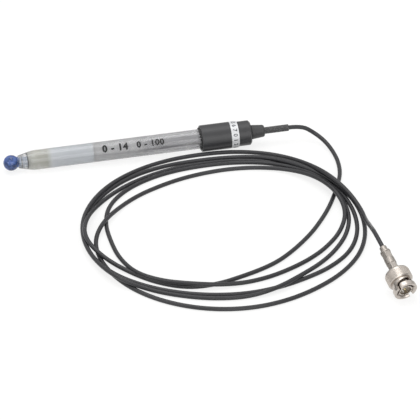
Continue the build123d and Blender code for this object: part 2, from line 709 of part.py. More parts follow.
def cable_coil():
    """Outer shape of the flat coil, kept clear of the electrode."""
    ring = coil_outline(COIL_OUTER_RADII, CABLE_RADIUS) - coil_outline(COIL_INNER_RADII, -CABLE_RADIUS)
    coil = extrude(ring, COIL_LAYERS * 2 * CABLE_RADIUS)
    rims = coil.edges().filter_by(lambda edge: not edge.is_closed or edge.length > COIL_X)
    rims = rims.filter_by(Plane.XY)
    coil = fillet(rims, COIL_ROUND_SHARE * CABLE_RADIUS)
    clear = rod(SHAFT_FRONT, SLEEVE_END, CAP_RADIUS + COIL_CLEARANCE)
    return coil - electrode_place * clear


def along(place, *distances):
    """Points on a placed X axis."""
    return [(place * Pos(distance, 0, 0)).position for distance in distances]


pieces = {name: electrode_place * piece for name, piece in electrode.items()}
pieces.update({name: plug_place * piece for name, piece in plug.items()})
lead_start = along(electrode_place, SLEEVE_END, SLEEVE_END + SLEEVE_RUN)
tail_end = along(plug_place, FERRULE_END + PLUG_RUN, FERRULE_END)
pieces["cable_lead"] = cord_run("cable_lead", lead_start + LEAD_POINTS)
pieces["cable_tail"] = cord_run("cable_tail", TAIL_POINTS + tail_end)
pieces["cable_coil"] = cable_coil()

for name, piece in pieces.items():
    export_step(piece, f"parts/{name}.step")

mouth, behind = along(plug_place, 0, 1)
cap_front, cap_behind = along(electrode_place, 0, 1)
print("plug mouth", mouth, "axis towards the cable", behind - mouth)
print("head front", cap_front, "axis towards the cable", cap_behind - cap_front, "tilt", round(tilt, 3))
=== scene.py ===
import math

import bmesh
import bpy
import numpy as np
from mathutils import Matrix, Vector


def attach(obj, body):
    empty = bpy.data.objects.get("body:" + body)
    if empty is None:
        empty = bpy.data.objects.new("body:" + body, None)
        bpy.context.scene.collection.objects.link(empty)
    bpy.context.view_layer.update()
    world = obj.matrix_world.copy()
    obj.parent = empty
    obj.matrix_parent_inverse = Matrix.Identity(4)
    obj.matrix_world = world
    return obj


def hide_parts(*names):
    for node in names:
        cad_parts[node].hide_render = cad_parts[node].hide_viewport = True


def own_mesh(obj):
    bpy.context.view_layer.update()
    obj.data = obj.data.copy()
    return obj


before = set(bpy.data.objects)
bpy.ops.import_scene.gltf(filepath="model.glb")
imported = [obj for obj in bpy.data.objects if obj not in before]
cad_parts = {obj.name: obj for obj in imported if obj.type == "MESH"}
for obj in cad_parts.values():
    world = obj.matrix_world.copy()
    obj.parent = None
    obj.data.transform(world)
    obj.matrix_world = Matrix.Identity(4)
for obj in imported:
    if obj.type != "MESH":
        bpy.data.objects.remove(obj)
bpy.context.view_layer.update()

MM = 0.001

# View
# The photograph looks down on the electrode from in front, from a little to the left of its
# middle, through a long lens.

VIEW_TARGET = Vector((25.65, -65.0, 0.0)) * MM
VIEW_DISTANCE = 1.7
VIEW_ELEVATION = math.radians(34)
VIEW_SIDEWAYS = math.radians(11.5)
VIEW_LENS = 247.7

camera = bpy.data.objects.new("camera", bpy.data.cameras.new("camera"))
bpy.context.collection.objects.link(camera)
back = Vector((
    -math.sin(VIEW_SIDEWAYS) * math.cos(VIEW_ELEVATION),
    -math.cos(VIEW_SIDEWAYS) * math.cos(VIEW_ELEVATION),
    math.sin(VIEW_ELEVATION),
))
camera.location = VIEW_TARGET + back * VIEW_DISTANCE
camera.rotation_euler = (math.pi / 2 - VIEW_ELEVATION, 0, -VIEW_SIDEWAYS)
camera.data.sensor_width = 36
camera.data.lens = VIEW_LENS
camera.data.clip_end = 10
bpy.context.scene.camera = camera
bpy.context.scene.view_settings.view_transform = "Standard"

# Floor and light
# A pale sweep of studio paper under an overhead softbox, with one at the left and one in front.
# The paper is white to the camera, to metal and to glass, and keeps only the contact shadows.


def linear(code):
    """Scene colour of an sRGB hex value."""
    values = [int(code[place:place + 2], 16) / 255 for place in (1, 3, 5)]
    return tuple(v / 12.92 if v <= 0.04045 else ((v + 0.055) / 1.055) ** 2.4 for v in values) + (1.0,)


def node(tree, kind, settings):
    """Add a node. Settings name its properties and inputs, and an output given for an input is linked."""
    made = tree.nodes.new(kind)
    for name, value in settings.items():
        if isinstance(name, str) and name not in made.inputs:
            setattr(made, name, value)
        elif isinstance(value, bpy.types.NodeSocket):
            tree.links.new(value, made.inputs[name])
        else:
            made.inputs[name].default_value = value
    return made


def new_material(name):
    """Empty material and its node tree."""
    material = bpy.data.materials.new(name)
    material.use_nodes = True
    material.node_tree.nodes.clear()
    return material, material.node_tree


def finish_material(tree, shader, height=None, depth=0.0):
    """Connect the shader, and a height pattern of the given depth in millimetres."""
    if height is not None:
        bump = node(tree, "ShaderNodeBump", {"Strength": 1.0, "Distance": depth * MM, "Height": height})
        tree.links.new(bump.outputs["Normal"], shader.inputs["Normal"])
    node(tree, "ShaderNodeOutputMaterial", {"Surface": shader.outputs[0]})


# Matte paper: off-white where it throws light up at the object, paler where it is looked at
studio_paper, tree = new_material("studio paper")
rays = node(tree, "ShaderNodeLightPath", {})
seen = node(tree, "ShaderNodeMath", {
    "operation": "MAXIMUM", 0: rays.outputs["Is Camera Ray"], 1: rays.outputs["Is Transmission Ray"],
})
seen = node(tree, "ShaderNodeMath", {
    "operation": "MAXIMUM", 0: seen.outputs[0], 1: rays.outputs["Is Glossy Ray"],
})
paper = node(tree, "ShaderNodeBsdfDiffuse", {"Color": linear("#d8d8d6")})
faint = node(tree, "ShaderNodeBsdfDiffuse", {"Color": linear("#8c8c8b")})
lift = node(tree, "ShaderNodeEmission", {"Color": linear("#ffffff"), "Strength": 0.78})
both = node(tree, "ShaderNodeAddShader", {0: faint.outputs[0], 1: lift.outputs[0]})
mix = node(tree, "ShaderNodeMixShader", {0: seen.outputs[0], 1: paper.outputs[0], 2: both.outputs[0]})
finish_material(tree, mix)

FLOOR_HALF = 3.0
floor_mesh = bpy.data.meshes.new("floor")
corners = [(x * FLOOR_HALF, y * FLOOR_HALF, 0) for x, y in ((-1, -1), (1, -1), (1, 1), (-1, 1))]
floor_mesh.from_pydata(corners, [], [(0, 1, 2, 3)])
floor_mesh.materials.append(studio_paper)
floor = bpy.data.objects.new("floor", floor_mesh)
bpy.context.collection.objects.link(floor)

# The room is an even grey-white light. The camera and the glass see it white, and gloss sees its walls
# dimmer than its ceiling.
world = bpy.data.worlds.new("studio")
world.use_nodes = True
world.node_tree.nodes.clear()
tree = world.node_tree
rays = node(tree, "ShaderNodeLightPath", {})
seen = node(tree, "ShaderNodeMath", {
    "operation": "MAXIMUM", 0: rays.outputs["Is Camera Ray"], 1: rays.outputs["Is Transmission Ray"],
})
place = node(tree, "ShaderNodeTexCoord", {})
direction = node(tree, "ShaderNodeSeparateXYZ", {"Vector": place.outputs["Generated"]})
height = node(tree, "ShaderNodeMapRange", {
    "Value": direction.outputs["Z"], "From Min": 0.05, "From Max": 0.6, "To Min": 0.3,
})
room = node(tree, "ShaderNodeBackground", {"Color": linear("#ffffff"), "Strength": 0.68})
walls = node(tree, "ShaderNodeBackground", {"Color": linear("#ffffff"), "Strength": height.outputs[0]})
white = node(tree, "ShaderNodeBackground", {"Color": linear("#ffffff"), "Strength": 1.0})
mix = node(tree, "ShaderNodeMixShader", {
    0: rays.outputs["Is Glossy Ray"], 1: room.outputs[0], 2: walls.outputs[0],
})
mix = node(tree, "ShaderNodeMixShader", {0: seen.outputs[0], 1: mix.outputs[0], 2: white.outputs[0]})
node(tree, "ShaderNodeOutputWorld", {"Surface": mix.outputs[0]})
bpy.context.scene.world = world


def softbox(name, place, size, power):
    """Square softbox aimed at the electrode."""
    light = bpy.data.lights.new(name, "AREA")
    light.size = size
    light.energy = power
    lamp = bpy.data.objects.new(name, light)
    lamp.location = place
    lamp.rotation_euler = (VIEW_TARGET - Vector(place)).to_track_quat("-Z", "Y").to_euler()
    bpy.context.collection.objects.link(lamp)


# Place and side in metres, and power in watts
softbox("overhead softbox", (-0.1, 0.25, 1.3), 0.9, 5.0)
softbox("left softbox", (-1.3, -0.7, 0.8), 0.6, 3.0)
softbox("front softbox", (0.1, -1.7, 0.6), 1.3, 9.0)

# Glass shaft and stem
# Borosilicate tube, drawn and flame-worked. The outer tube is closed by its shoulder onto the inner
# stem, which carries the bulb, so the two are one piece of glass. A porous ceramic rod is sealed into
# the wall near the tip, and a silicone plug centres the stem in the rear end.

# The head is thicker than the bulb, so the shaft slopes down a little to the bulb. In the electrode's own
# place, X runs along the shaft to the cable and is zero at the front of the head.
ELECTRODE_SLOPE = math.radians(1.2033)
HEAD_FRONT = Vector((33.0217, 0, 8.10389)) * MM
ELECTRODE_PLACE = Matrix.Translation(HEAD_FRONT) @ Matrix.Rotation(-ELECTRODE_SLOPE, 4, "Y")
SHAFT_RADIUS = 6.0 * MM
SMEARS_PER_METRE = 120.0
PATCHES_PER_METRE = 90.0


def dress(material, *names):
    """Give CAD nodes their material."""
    for name in names:
        for material_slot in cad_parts[name].material_slots:
            material_slot.material = material


def glass(name, tint, ior, smear):
    """Clear glass with faint smears. It lets the lamps through to what it holds."""
    material, tree = new_material(name)
    place = node(tree, "ShaderNodeTexCoord", {})
    smears = node(tree, "ShaderNodeTexNoise", {
        "Vector": place.outputs["Object"], "Scale": SMEARS_PER_METRE, "Detail": 4.0,
    })
    dull = node(tree, "ShaderNodeMapRange", {"Value": smears.outputs["Fac"], "To Min": 0.0, "To Max": smear})
    body = node(tree, "ShaderNodeBsdfPrincipled", {
        "Base Color": linear(tint), "Roughness": dull.outputs[0], "IOR": ior, "Transmission Weight": 1.0,
    })
    rays = node(tree, "ShaderNodeLightPath", {})
    clear = node(tree, "ShaderNodeBsdfTransparent", {"Color": linear(tint)})
    mix = node(tree, "ShaderNodeMixShader", {
        0: rays.outputs["Is Shadow Ray"], 1: body.outputs[0], 2: clear.outputs[0],
    })
    finish_material(tree, mix)
    return material


def finish(name, colours, grain, rough, depth=0.0, **settings):
    """Opaque material: two shades in soft patches, and a grain and its depth in millimetres."""
    material, tree = new_material(name)
    place = node(tree, "ShaderNodeTexCoord", {})
    patches = node(tree, "ShaderNodeTexNoise", {
        "Vector": place.outputs["Object"], "Scale": PATCHES_PER_METRE, "Detail": 4.0,
    })
    fine = node(tree, "ShaderNodeTexNoise", {"Vector": place.outputs["Object"], "Scale": 1 / (grain * MM)})
    tint = node(tree, "ShaderNodeMix", {
        "data_type": "RGBA", 0: patches.outputs["Fac"], 6: linear(colours[0]), 7: linear(colours[1]),
    })
    dull = node(tree, "ShaderNodeMapRange", {
        "Value": fine.outputs["Fac"], "From Min": 0.3, "From Max": 0.7,
        "To Min": rough[0], "To Max": rough[1],
    })
    shader = node(tree, "ShaderNodeBsdfPrincipled", {
        "Base Color": tint.outputs[2], "Roughness": dull.outputs[0], **settings,
    })
    finish_material(tree, shader, fine.outputs["Fac"], depth)
    return material


# Flame-polished tube: clear, faintly grey at the edges, with a few smears from handling
borosilicate = glass("flame-worked borosilicate", "#fcfcfc", 1.474, 0.09)
dress(borosilicate, "outer_glass_shaft", "inner_glass_stem")
# Sintered rod: dull off-white with visible pores
dress(finish("porous ceramic", ("#d9d4c8", "#c9c3b5"), 0.15, (0.7, 0.9), 0.03), "ceramic_junction")
# Moulded silicone: matte near-black
dress(finish("moulded silicone", ("#2a2a2b", "#353536"), 0.3, (0.5, 0.65), 0.01), "stem_seal")

# Fused seams
# The rings where the bulb's neck is fused on and where the stem is fused to the shoulder. Seen through
# the curved glass, each is a thin dark arc, drawn here as a ring painted dark.

# Place along the shaft, radius and half thickness in millimetres
SEAM_RINGS = [(-109.3, 2.7, 0.32), (-105.7, 3.2, 0.3)]
SEAM_SIDES = 12
SHARP_ANGLE = math.radians(40)


def turned_mesh(name, outline, steps=96):
    """Mesh of a closed (x, radius) outline in metres, turned about the X axis."""
    mesh = bmesh.new()
    rings = []
    for x, radius in outline:
        if radius == 0:
            rings.append([mesh.verts.new((x, 0, 0))])
            continue
        angles = [2 * math.pi * index / steps for index in range(steps)]
        rings.append([mesh.verts.new((x, radius * math.cos(a), radius * math.sin(a))) for a in angles])
    for ring, following in zip(rings, rings[1:] + rings[:1]):
        for index in range(steps):
            after = (index + 1) % steps
            if len(ring) == 1 and len(following) == 1:
                break
            if len(ring) == 1:
                mesh.faces.new((ring[0], following[after], following[index]))
            elif len(following) == 1:
                mesh.faces.new((ring[index], ring[after], following[0]))
            else:
                mesh.faces.new((ring[index], ring[after], following[after], following[index]))
    bmesh.ops.recalc_face_normals(mesh, faces=mesh.faces)
    made = bpy.data.meshes.new(name)
    mesh.to_mesh(made)
    mesh.free()
    return made


def add_piece(name, mesh, place, material, body, smooth=True):
    """Put a mesh in its place, give it its material and let it ride on its body."""
    mesh.transform(place)
    for polygon in mesh.polygons:
        polygon.use_smooth = smooth
    if smooth:
        mesh.set_sharp_from_angle(angle=SHARP_ANGLE)
    mesh.materials.clear()
    mesh.materials.append(material)
    piece = bpy.data.objects.new(name, mesh)
    bpy.context.collection.objects.link(piece)
    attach(piece, body)
    return piece


# Fused glass seam: painted nearly black, as painted shade for the light that the seam turns aside
seam_glass_painted_dark = finish("fused glass seam painted dark", ("#2b2b2d", "#3a3a3c"), 0.2, (0.2, 0.4), 0.0, IOR=1.474)
for number, (x, radius, thickness) in enumerate(SEAM_RINGS, 1):
    turns = [2 * math.pi * index / SEAM_SIDES for index in range(SEAM_SIDES)]
    outline = [((x + thickness * math.cos(t)) * MM, (radius + thickness * math.sin(t)) * MM) for t in turns]
    ring = turned_mesh("seam", outline)
    add_piece(f"seam_ring_{number}", ring, ELECTRODE_PLACE, seam_glass_painted_dark, "electrode")

# Printed range
# Black enamel, screen-printed on the glass and fired: the electrode's ranges, in plain numbers that
# read along the shaft on the side of the camera.

INK_THICKNESS = 0.03 * MM
LETTER_SPACING = 1.12
BENDING_CUTS = 40


def number_print(text, weight, height, radius, along, turn, round_band=False):
    """Numbers laid on a cylinder about the X axis, reading along it or round it."""
    curve = bpy.data.curves.new("numbers", "FONT")
    curve.body = text
    curve.align_x = "CENTER"
    curve.space_character = LETTER_SPACING
    curve.offset = weight
    # The thickness only tells the two faces apart, and INK_THICKNESS replaces it below.
    curve.extrude = 0.01
    sample = bpy.data.objects.new("numbers", curve)
    bpy.context.collection.objects.link(sample)
    mesh = bpy.data.meshes.new_from_object(sample.evaluated_get(bpy.context.evaluated_depsgraph_get()))
    bpy.data.objects.remove(sample)
    shape = bmesh.new()
    shape.from_mesh(mesh)
    bmesh.ops.remove_doubles(shape, verts=shape.verts, dist=0.0001)
    low = [min(vert.co[axis] for vert in shape.verts) for axis in (0, 1)]
    high = [max(vert.co[axis] for vert in shape.verts) for axis in (0, 1)]
    scale = height / (high[1] - low[1])
    # The flat faces are cut into strips, so that they bend round the cylinder.
    across = 0 if round_band else 1
    for cut in range(1, BENDING_CUTS):
        at = low[across] + (high[across] - low[across]) * cut / BENDING_CUTS
        normal = (1, 0, 0) if round_band else (0, 1, 0)
        point = (at, 0, 0) if round_band else (0, at, 0)
        parts = list(shape.verts) + list(shape.edges) + list(shape.faces)
        bmesh.ops.bisect_plane(shape, geom=parts, plane_co=point, plane_no=normal)
    for vert in shape.verts:
        reading = (vert.co.x - (low[0] + high[0]) / 2) * scale
        rising = (vert.co.y - (low[1] + high[1]) / 2) * scale
        reach = radius + (INK_THICKNESS if vert.co.z > 0 else -INK_THICKNESS)
        # The angle is measured from the top towards the camera's side.
        angle = turn + (reading if round_band else -rising) / radius
        x = along + (rising if round_band else reading)
        vert.co = (x, -reach * math.sin(angle), reach * math.cos(angle))
    bmesh.ops.recalc_face_normals(shape, faces=shape.faces)
    shape.to_mesh(mesh)
    shape.free()
    return mesh


# Fired enamel: dense black with a soft gloss
enamel = finish("fired black enamel", ("#1a1a1b", "#262627"), 0.2, (0.3, 0.5), 0.004)
# Text, weight of its strokes, height and place along the shaft in millimetres
RANGE_PRINTS = [("0 - 14", 0.045, 4.6, -53.0), ("0 - 100", 0.035, 4.0, -31.5)]
RANGE_TURN = math.radians(44)
for number, (text, weight, height, along) in enumerate(RANGE_PRINTS, 1):
    ink = number_print(text, weight, height * MM, SHAFT_RADIUS, along * MM, RANGE_TURN)
    name = f"range_print_{number}"
    add_piece(name, ink, ELECTRODE_PLACE, enamel, "electrode", smooth=False)

# Bulb
# A thin bubble of lithium glass, blown on the end of the stem. It is the part that senses.
# The glass and the buffer in it are both tinted blue.

# Blown lithium glass: very clear, blue where it is seen edge-on
dress(glass("blown lithium glass", "#e4ecf4", 1.50, 0.02), "membrane_bulb")

# Fillings
# Blue-dyed buffer in the bulb and the stem, a milky gel round the stem and grey electrolyte gel behind
# it. Each filling wets the glass, so its skin lies just inside the wall's surface and no air gap shows.

WETTING = 0.12 * MM
SCATTER_REACH = 5 * MM


def filling_material(name, colours, far_colour, colour_ramp, opacities, opacity_ramp, glow=0.9, patch=5.0):
    """Cloudy liquid. Its colour and its opacity change over ramps in millimetres of the frame's X."""
    material, tree = new_material(name)
    place = node(tree, "ShaderNodeTexCoord", {})
    axes = node(tree, "ShaderNodeSeparateXYZ", {"Vector": place.outputs["Object"]})
    cloud = node(tree, "ShaderNodeTexNoise", {
        "Vector": place.outputs["Object"], "Scale": 1 / (patch * MM), "Detail": 3.0,
    })
    cloud = node(tree, "ShaderNodeMapRange", {
        "Value": cloud.outputs["Fac"], "From Min": 0.35, "From Max": 0.65,
    })
    tint = node(tree, "ShaderNodeMix", {
        "data_type": "RGBA", 0: cloud.outputs[0], 6: linear(colours[0]), 7: linear(colours[1]),
    })
    start, end = colour_ramp
    paling = node(tree, "ShaderNodeMapRange", {
        "Value": axes.outputs["X"], "From Min": start * MM, "From Max": end * MM, "To Max": 0.85,
    })
    tint = node(tree, "ShaderNodeMix", {
        "data_type": "RGBA", 0: paling.outputs[0], 6: tint.outputs[2], 7: linear(far_colour),
    })
    start, end = opacity_ramp
    opacity = node(tree, "ShaderNodeMapRange", {
        "Value": axes.outputs["X"], "From Min": start * MM, "From Max": end * MM,
        "To Min": opacities[0], "To Max": opacities[1],
    })
    body = node(tree, "ShaderNodeBsdfPrincipled", {
        "Base Color": tint.outputs[2], "Roughness": 0.4, "IOR": 1.34, "Specular IOR Level": 0.1,
        "Subsurface Weight": glow, "Subsurface Radius": (1.0, 1.0, 1.0), "Subsurface Scale": SCATTER_REACH,
    })
    clear = node(tree, "ShaderNodeBsdfTransparent", {"Color": linear("#fcfcfc")})
    mix = node(tree, "ShaderNodeMixShader", {0: opacity.outputs[0], 1: clear.outputs[0], 2: body.outputs[0]})
    finish_material(tree, mix)
    return material


BULB_CENTRE = -115.75 * MM
BULB_BORE = 4.35 * MM
BULB_STEPS = 24
STEM_BORE = 2.5 * MM
FILL_END = -69.5 * MM
buffer_radius = BULB_BORE + WETTING
neck_radius = STEM_BORE + WETTING
neck_angle = math.asin(neck_radius / buffer_radius)
outline = []
for index in range(BULB_STEPS + 1):
    angle = math.pi - (math.pi - neck_angle) * index / BULB_STEPS
    outline.append((BULB_CENTRE + buffer_radius * math.cos(angle), buffer_radius * math.sin(angle)))
outline[0] = (BULB_CENTRE - buffer_radius, 0)
outline += [(FILL_END, neck_radius), (FILL_END, 0)]
# Dyed buffer: deep blue in the bulb, mottled with lighter patches of painted reflection, and pale grey-blue
# in the stem
dyed_buffer_painted_reflection = filling_material(
    "blue-dyed buffer with painted reflection mottle", ("#283b66", "#5f7ab8"), "#aab4c2", (-79.0, -77.0), (0.92, 0.6), (-77.0, -75.5),
    glow=0.1, patch=2.6,
)
buffer = turned_mesh("buffer", outline)
buffer = add_piece("buffer", buffer, ELECTRODE_PLACE, dyed_buffer_painted_reflection, "electrode")
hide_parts("bulb_fill")

# Outlines of the two gels round the stem, as (x, radius) in millimetres
GEL_OUTLINE = [
    (-106.0, 3.08), (-106.0, 3.3), (-104.6, 3.75), (-103.0, 4.4), (-101.5, 4.95), (-100.0, 5.12),
    (-66.05, 5.12), (-66.05, 3.08),
]
ELECTROLYTE_OUTLINE = [(-65.95, 3.08), (-65.95, 5.12), (2.0, 5.12), (2.0, 3.08)]
# Potassium chloride gel: a warm grey and half clear in the shoulder, cloudy blue-white behind it
milky_gel = filling_material(
    "cloudy salt gel", ("#b6b6ad", "#c1c1b9"), "#b3b7bd", (-61.5, -58.5), (0.6, 0.95), (-61.5, -58.5),
)
gel = turned_mesh("gel", [(x * MM, radius * MM) for x, radius in GEL_OUTLINE])
gel = add_piece("gel", gel, ELECTRODE_PLACE, milky_gel, "electrode")
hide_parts("reference_gel")
# Saturated electrolyte gel: an even light grey that lets the dark element show through near the head
grey_gel = filling_material(
    "grey electrolyte gel", ("#a5a5a6", "#b0b0b1"), "#a0a0a3", (-6.0, 2.0), (0.92, 0.5), (-6.0, 2.0),
)
electrolyte = turned_mesh("electrolyte", [(x * MM, radius * MM) for x, radius in ELECTROLYTE_OUTLINE])
electrolyte = add_piece("electrolyte", electrolyte, ELECTRODE_PLACE, grey_gel, "electrode")
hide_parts("reference_electrolyte")

# Elements and their wires
# Two silver wires. The end of each is coated with dark silver chloride, and the one beside the
# stem is the reference.

# Sintered silver chloride: dull purple-grey, slightly rough
dress(finish("sintered silver chloride", ("#3c363f", "#4b444e"), 0.1, (0.55, 0.8), 0.02), "reference_element")
# Thinly chlorided silver: dull pale grey
dress(finish("chlorided silver", ("#a3a29c", "#b3b2ac"), 0.2, (0.5, 0.7), 0.01), "measuring_element")
# Drawn silver: pale and soft in gloss, a little tarnished
drawn_silver = finish("drawn silver", ("#a9a59e", "#c4c1bb"), 0.3, (0.3, 0.45), 0.004, Metallic=1.0)
dress(drawn_silver, "measuring_wire", "reference_wire")

# Head
# Two moulded shells of black ABS, the rear one pressed into the front one, and a soft bend relief.
# Inside, two crimped splices join the wires to the cable, and epoxy fills the space.

# Moulded ABS: charcoal, satin, with a fine spark-eroded grain
moulded_abs = finish("moulded ABS", ("#2e2e30", "#39393b"), 0.25, (0.34, 0.44), 0.012, IOR=1.54)
dress(moulded_abs, "head_cap", "rear_shell")
# Soft PVC: the same charcoal, a little lighter and duller
dress(finish("soft moulded PVC", ("#333334", "#3e3e3f"), 0.3, (0.4, 0.52), 0.015, IOR=1.53), "gland_cone")
# Cast epoxy: brown, glossy where it can be seen
dress(finish("cast epoxy", ("#3a3026", "#463a2d"), 1.0, (0.15, 0.3), 0.01), "potting")
# Pressed copper: bright reddish metal with press marks
pressed_copper = finish("pressed copper", ("#b0714a", "#c2835a"), 0.3, (0.25, 0.4), 0.01, Metallic=1.0)
dress(pressed_copper, "core_splice", "shield_splice")

# Bead of sealant
# Black epoxy run into the mouth of the head round the glass, to seal it. Its near-black is partly painted
# shade of the recess there.
# It sets lumpy, with a wet gloss.

# Outline as (x, radius) in millimetres, from the glass out to the rim of the head
BEAD_OUTLINE = [(0.1, 6.02), (-0.8, 6.02), (-0.9, 6.3), (-0.7, 6.7), (-0.4, 7.0), (0.1, 7.3)]
BEAD_STEPS = 144
BEAD_LUMP = 0.3 * MM
BEAD_RIPPLE = 0.15 * MM
bead = turned_mesh("sealant_bead", [(x * MM, radius * MM) for x, radius in BEAD_OUTLINE], BEAD_STEPS)
for vert in bead.vertices:
    # Only what stands out of the head is lumpy.
    if vert.co.x < -0.2 * MM:
        turn = math.atan2(vert.co.z, vert.co.y)
        vert.co.x += BEAD_LUMP * math.sin(7 * turn) * math.sin(11 * turn + 1)
        vert.co.x += BEAD_RIPPLE * math.sin(23 * turn)
# Cast black epoxy: wet gloss over a lumpy surface. Its near-black is partly painted shade of the head's
# recess.
black_epoxy_and_painted_shade = finish("cast black epoxy with painted recess shade", ("#0f0f10", "#1c1c1d"), 0.5, (0.08, 0.2), 0.3)
add_piece("sealant_bead", bead, ELECTRODE_PLACE, black_epoxy_and_painted_shade, "electrode")

# Label
# A self-adhesive polyester band in the shell's shallow seat, silver-white, with plain scale numbers
# printed round it.

LABEL_RADIUS = 8.1 * MM
LABEL_MIDDLE = 20.4 * MM
LABEL_TURN = math.radians(50)
# Metallised polyester: cool silver-white with a faint satin mottle
polyester = finish("metallised polyester", ("#d6d7d9", "#e3e4e6"), 0.5, (0.3, 0.42), 0.003, Metallic=0.15)
dress(polyester, "label_band")
# Thermal print: soft dark grey-blue
print_ink = finish("thermal print", ("#2f3238", "#3b3e46"), 0.2, (0.45, 0.6), 0.002)
ink = number_print(
    "0 1 2 3 4 5 6 7 0 1 2 3 4 5 6 7", 0.015, 2.6 * MM, LABEL_RADIUS, LABEL_MIDDLE, LABEL_TURN,
    round_band=True,
)
add_piece("scale_print", ink, ELECTRODE_PLACE, print_ink, "electrode", smooth=False)

# Shrink sleeve
# Polyolefin tube shrunk over the cable where it enters the head. Its surface is dusty and specked.

SPECKS_PER_METRE = 2600.0
# Shrunk polyolefin: dull black with pale dust specks less than half a millimetre wide
speckled_sleeve, tree = new_material("shrunk polyolefin")
place = node(tree, "ShaderNodeTexCoord", {})
specks = node(tree, "ShaderNodeTexNoise", {
    "Vector": place.outputs["Object"], "Scale": SPECKS_PER_METRE, "Detail": 1.0,
})
chosen = node(tree, "ShaderNodeMapRange", {"Value": specks.outputs["Fac"], "From Min": 0.6, "From Max": 0.68})
tint = node(tree, "ShaderNodeMix", {
    "data_type": "RGBA", 0: chosen.outputs[0], 6: linear("#3a3a3b"), 7: linear("#8d8d8c"),
})
sleeve = node(tree, "ShaderNodeBsdfPrincipled", {
    "Base Color": tint.outputs[2], "Roughness": 0.55, "IOR": 1.5,
})
finish_material(tree, sleeve, specks.outputs["Fac"], 0.03)
dress(speckled_sleeve, "cable_sleeve")

# Cable
# A thin coaxial cable: stranded core, shield and an extruded black PVC jacket, 2.6 mm across.
# It leaves the sleeve, drops to the table, lies in five loose turns and ends in the plug.

CABLE_RADIUS = 1.3 * MM
CABLE_HEIGHT = CABLE_RADIUS
# Route's points in metres: from the sleeve down to the table, on into the coil, and from the coil to the
# plug. The first two lie on the head's axis and the last two on the plug's. The rest were measured in the
# photograph with the fitted view, and then moved so that the spline follows it.
LEAD_POINTS = [
    (0.08741, 0, 0.00925), (0.09581, 0, 0.00942), (0.1026, -0.0034, 0.006), (0.1073, -0.0102, 0.0042),
    (0.1102, -0.019, 0.0026), (0.1114, -0.0305, 0.0015), (0.1096, -0.044, 0.0013), (0.105, -0.0565, 0.0013),
]
JOIN_POINTS = [(0.1006, -0.066, 0.0013), (0.095, -0.077, 0.0013)]
TAIL_POINTS = [
    (0.111, -0.0995, 0.0046), (0.109, -0.118, 0.0128), (0.10722, -0.13542, 0.02003),
    (0.10921, -0.14569, 0.01663),
]
COIL_CENTRE = Vector((29.9, -87.15)) * MM
# Radius in millimetres of each loose turn at twelve directions, clockwise from the frame's X. A separate
# program worked these out from strand points read in the photograph, and most were then moved by hand.
COIL_TURNS = [
    (58.5, 46.5, 45, 49, 62.5, 69.5, 82.2, 77, 71, 69.5, 74.5, 76.5),
    (77.5, 75.5, 67.5, 66, 68.5, 79.2, 82, 80.7, 76.8, 73.5, 78, 78),
    (81.2, 81.5, 79, 80, 80.2, 79.4, 76.5, 64.5, 58.3, 59.3, 66.6, 72),
    (72.4, 61.3, 55, 57, 60.4, 67.5, 66.8, 71.5, 69, 67.5, 71.5, 73.5),
    (74.2, 67.3, 65, 69, 71.2, 80.5, 82.7, 82, 80.5, 79.7, 83.3, 80),
]
# Radius one direction before the first turn, where the lead comes in, and at the end of the last one
COIL_START = 84
COIL_END = 80.8
# How many cables lie under each turn at those directions, as the same program gave them
COIL_STACK = [
    (0, 0, 0, 0, 0, 0.1, 1.7, 0.4, 0, 0, 0.1, 1),
    (0.1, 0, 0, 0, 0, 0.9, 0, 0, 0, 0, 0.2, 1.1),
    (0.3, 0, 0, 0, 0, 0, 0.4, 0.4, 0, 0, 0.3, 1.9),
    (0.9, 0, 0, 0.4, 0.6, 0, 0, 0, 0, 0, 0.4, 1.9),
    (0.1, 0, 0.5, 0, 0, 0.9, 1, 0.4, 0, 0, 0.2, 1.1),
]
POINTS_PER_DIRECTION = 2


def between(values, place):
    """Value at a fractional place in a list, on a smooth curve through its entries."""
    first = min(int(place), len(values) - 2)
    a, b, c, d = [values[min(max(first + step, 0), len(values) - 1)] for step in (-1, 0, 1, 2)]
    t = place - first
    return b + 0.5 * t * (c - a + t * (2 * a - 5 * b + 4 * c - d + t * (3 * (b - c) + d - a)))


def coil_points():
    """Points of the loose turns, clockwise from above."""
    radii = [COIL_START] + [radius for turn in COIL_TURNS for radius in turn] + [COIL_END]
    stack = [0] + [count for turn in COIL_STACK for count in turn] + [1]
    step = math.radians(360 / len(COIL_TURNS[0]) / POINTS_PER_DIRECTION)
    # The points lie further out than the cable, because a quadratic spline cuts inside its control points.
    outward = 1 / (0.75 + 0.25 * math.cos(step))
    points = []
    for index in range((len(radii) - 2) * POINTS_PER_DIRECTION + 1):
        place = 1 + index / POINTS_PER_DIRECTION
        angle = -index * step
        reach = between(radii, place) * MM * outward
        x = COIL_CENTRE.x + reach * math.cos(angle)
        y = COIL_CENTRE.y + reach * math.sin(angle)
        height = CABLE_HEIGHT + 2 * CABLE_RADIUS * max(0, between(stack, place))
        points.append((x, y, height))
    return points


SAMPLES_PER_SPAN = 4


def spline_weights(count):
    """Share that each control point has in each sample of an open quadratic spline."""
    spans = count - 2
    knots = np.array([0, 0] + list(range(spans + 1)) + [spans, spans])
    places = np.arange(spans * SAMPLES_PER_SPAN + 1)[:, None] / SAMPLES_PER_SPAN
    weights = ((knots[:-1] <= places) & (places < knots[1:])).astype(float)
    # The last sample ends the last span.
    weights[-1, spans + 1] = 1
    for degree in (1, 2):
        length = knots[degree:] - knots[:-degree]
        share = (places - knots[:-degree]) / np.where(length > 0, length, 1)
        weights = share[:, :-1] * weights[:, :-1] + (1 - share[:, 1:]) * weights[:, 1:]
    return weights


APART = 2 * CABLE_RADIUS * 1.01
SAME_STRAND = 12 * MM
SIDEWAYS_SHARE = 0.3
LYING_OVER = APART / 9


